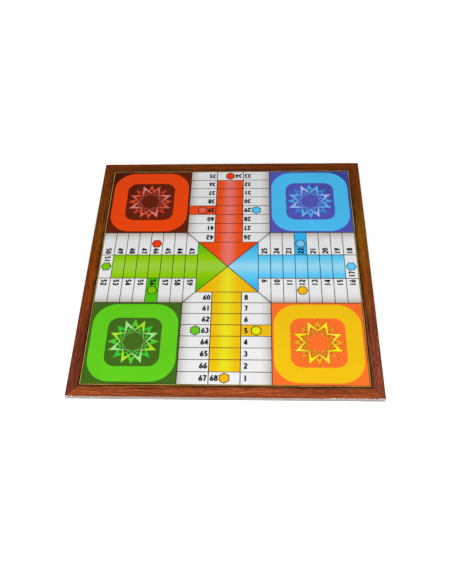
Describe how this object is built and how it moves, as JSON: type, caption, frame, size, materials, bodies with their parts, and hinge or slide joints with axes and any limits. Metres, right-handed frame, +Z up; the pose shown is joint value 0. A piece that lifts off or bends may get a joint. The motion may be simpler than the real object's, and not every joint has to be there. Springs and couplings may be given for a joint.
{
  "type": "cross-and-circle game board",
  "caption": "Rigid square race-game board: edge-banded fibre panel with a printed playing sheet on top and a plain backing sheet below.",
  "frame": {"origin": "centre of the underside", "axes": "+Z up out of the playing face, -Y towards the viewer of the picture, +X to the right"},
  "size_m": [0.4, 0.4, 0.008],
  "materials": {
    "panel": "raw wood fibre, hidden under the sheets and bands",
    "print": "printed paper under a satin clear film: wood-pattern border, four coloured homes, white and coloured cells",
    "backing": "plain matt paper with short fibres",
    "edge_band": "satin pale grey edge banding with fine trimming marks"
  },
  "bodies": {
    "root": {"core_panel": "panel", "playing_sheet": "print", "backing_sheet": "backing", "edge_band_front": "edge_band", "edge_band_back": "edge_band", "edge_band_left": "edge_band", "edge_band_right": "edge_band"}
  },
  "joints": []
}
